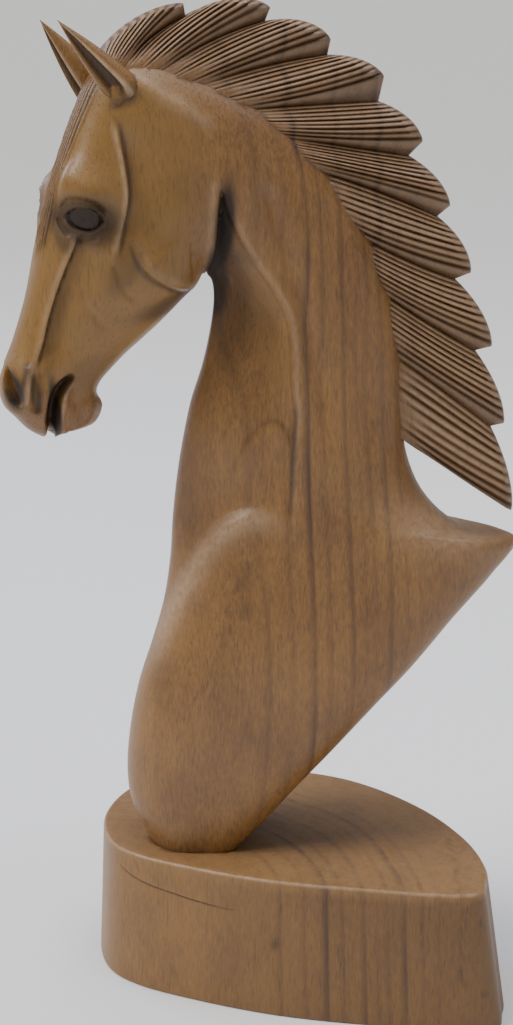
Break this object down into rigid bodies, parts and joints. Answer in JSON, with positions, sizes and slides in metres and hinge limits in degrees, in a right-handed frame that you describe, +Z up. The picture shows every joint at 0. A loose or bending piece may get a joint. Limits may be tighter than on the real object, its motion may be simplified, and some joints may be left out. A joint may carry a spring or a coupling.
{
  "type": "carved wooden horse head bust on plinth",
  "caption": "Carved hardwood horse head with a swept, locked mane, on a bust that narrows to a foot on a low plinth of the same log.",
  "frame": {"origin": "middle of the bounding box of the underside, on the surface the plinth stands on", "axes": "+Z up, -X the way the horse looks, -Y its near side"},
  "size_m": [0.3078, 0.1962, 0.6041],
  "materials": {
    "varnished_wood": "satin"
  },
  "bodies": {
    "root": {"horse_head_on_plinth": "varnished_wood"}
  },
  "joints": []
}
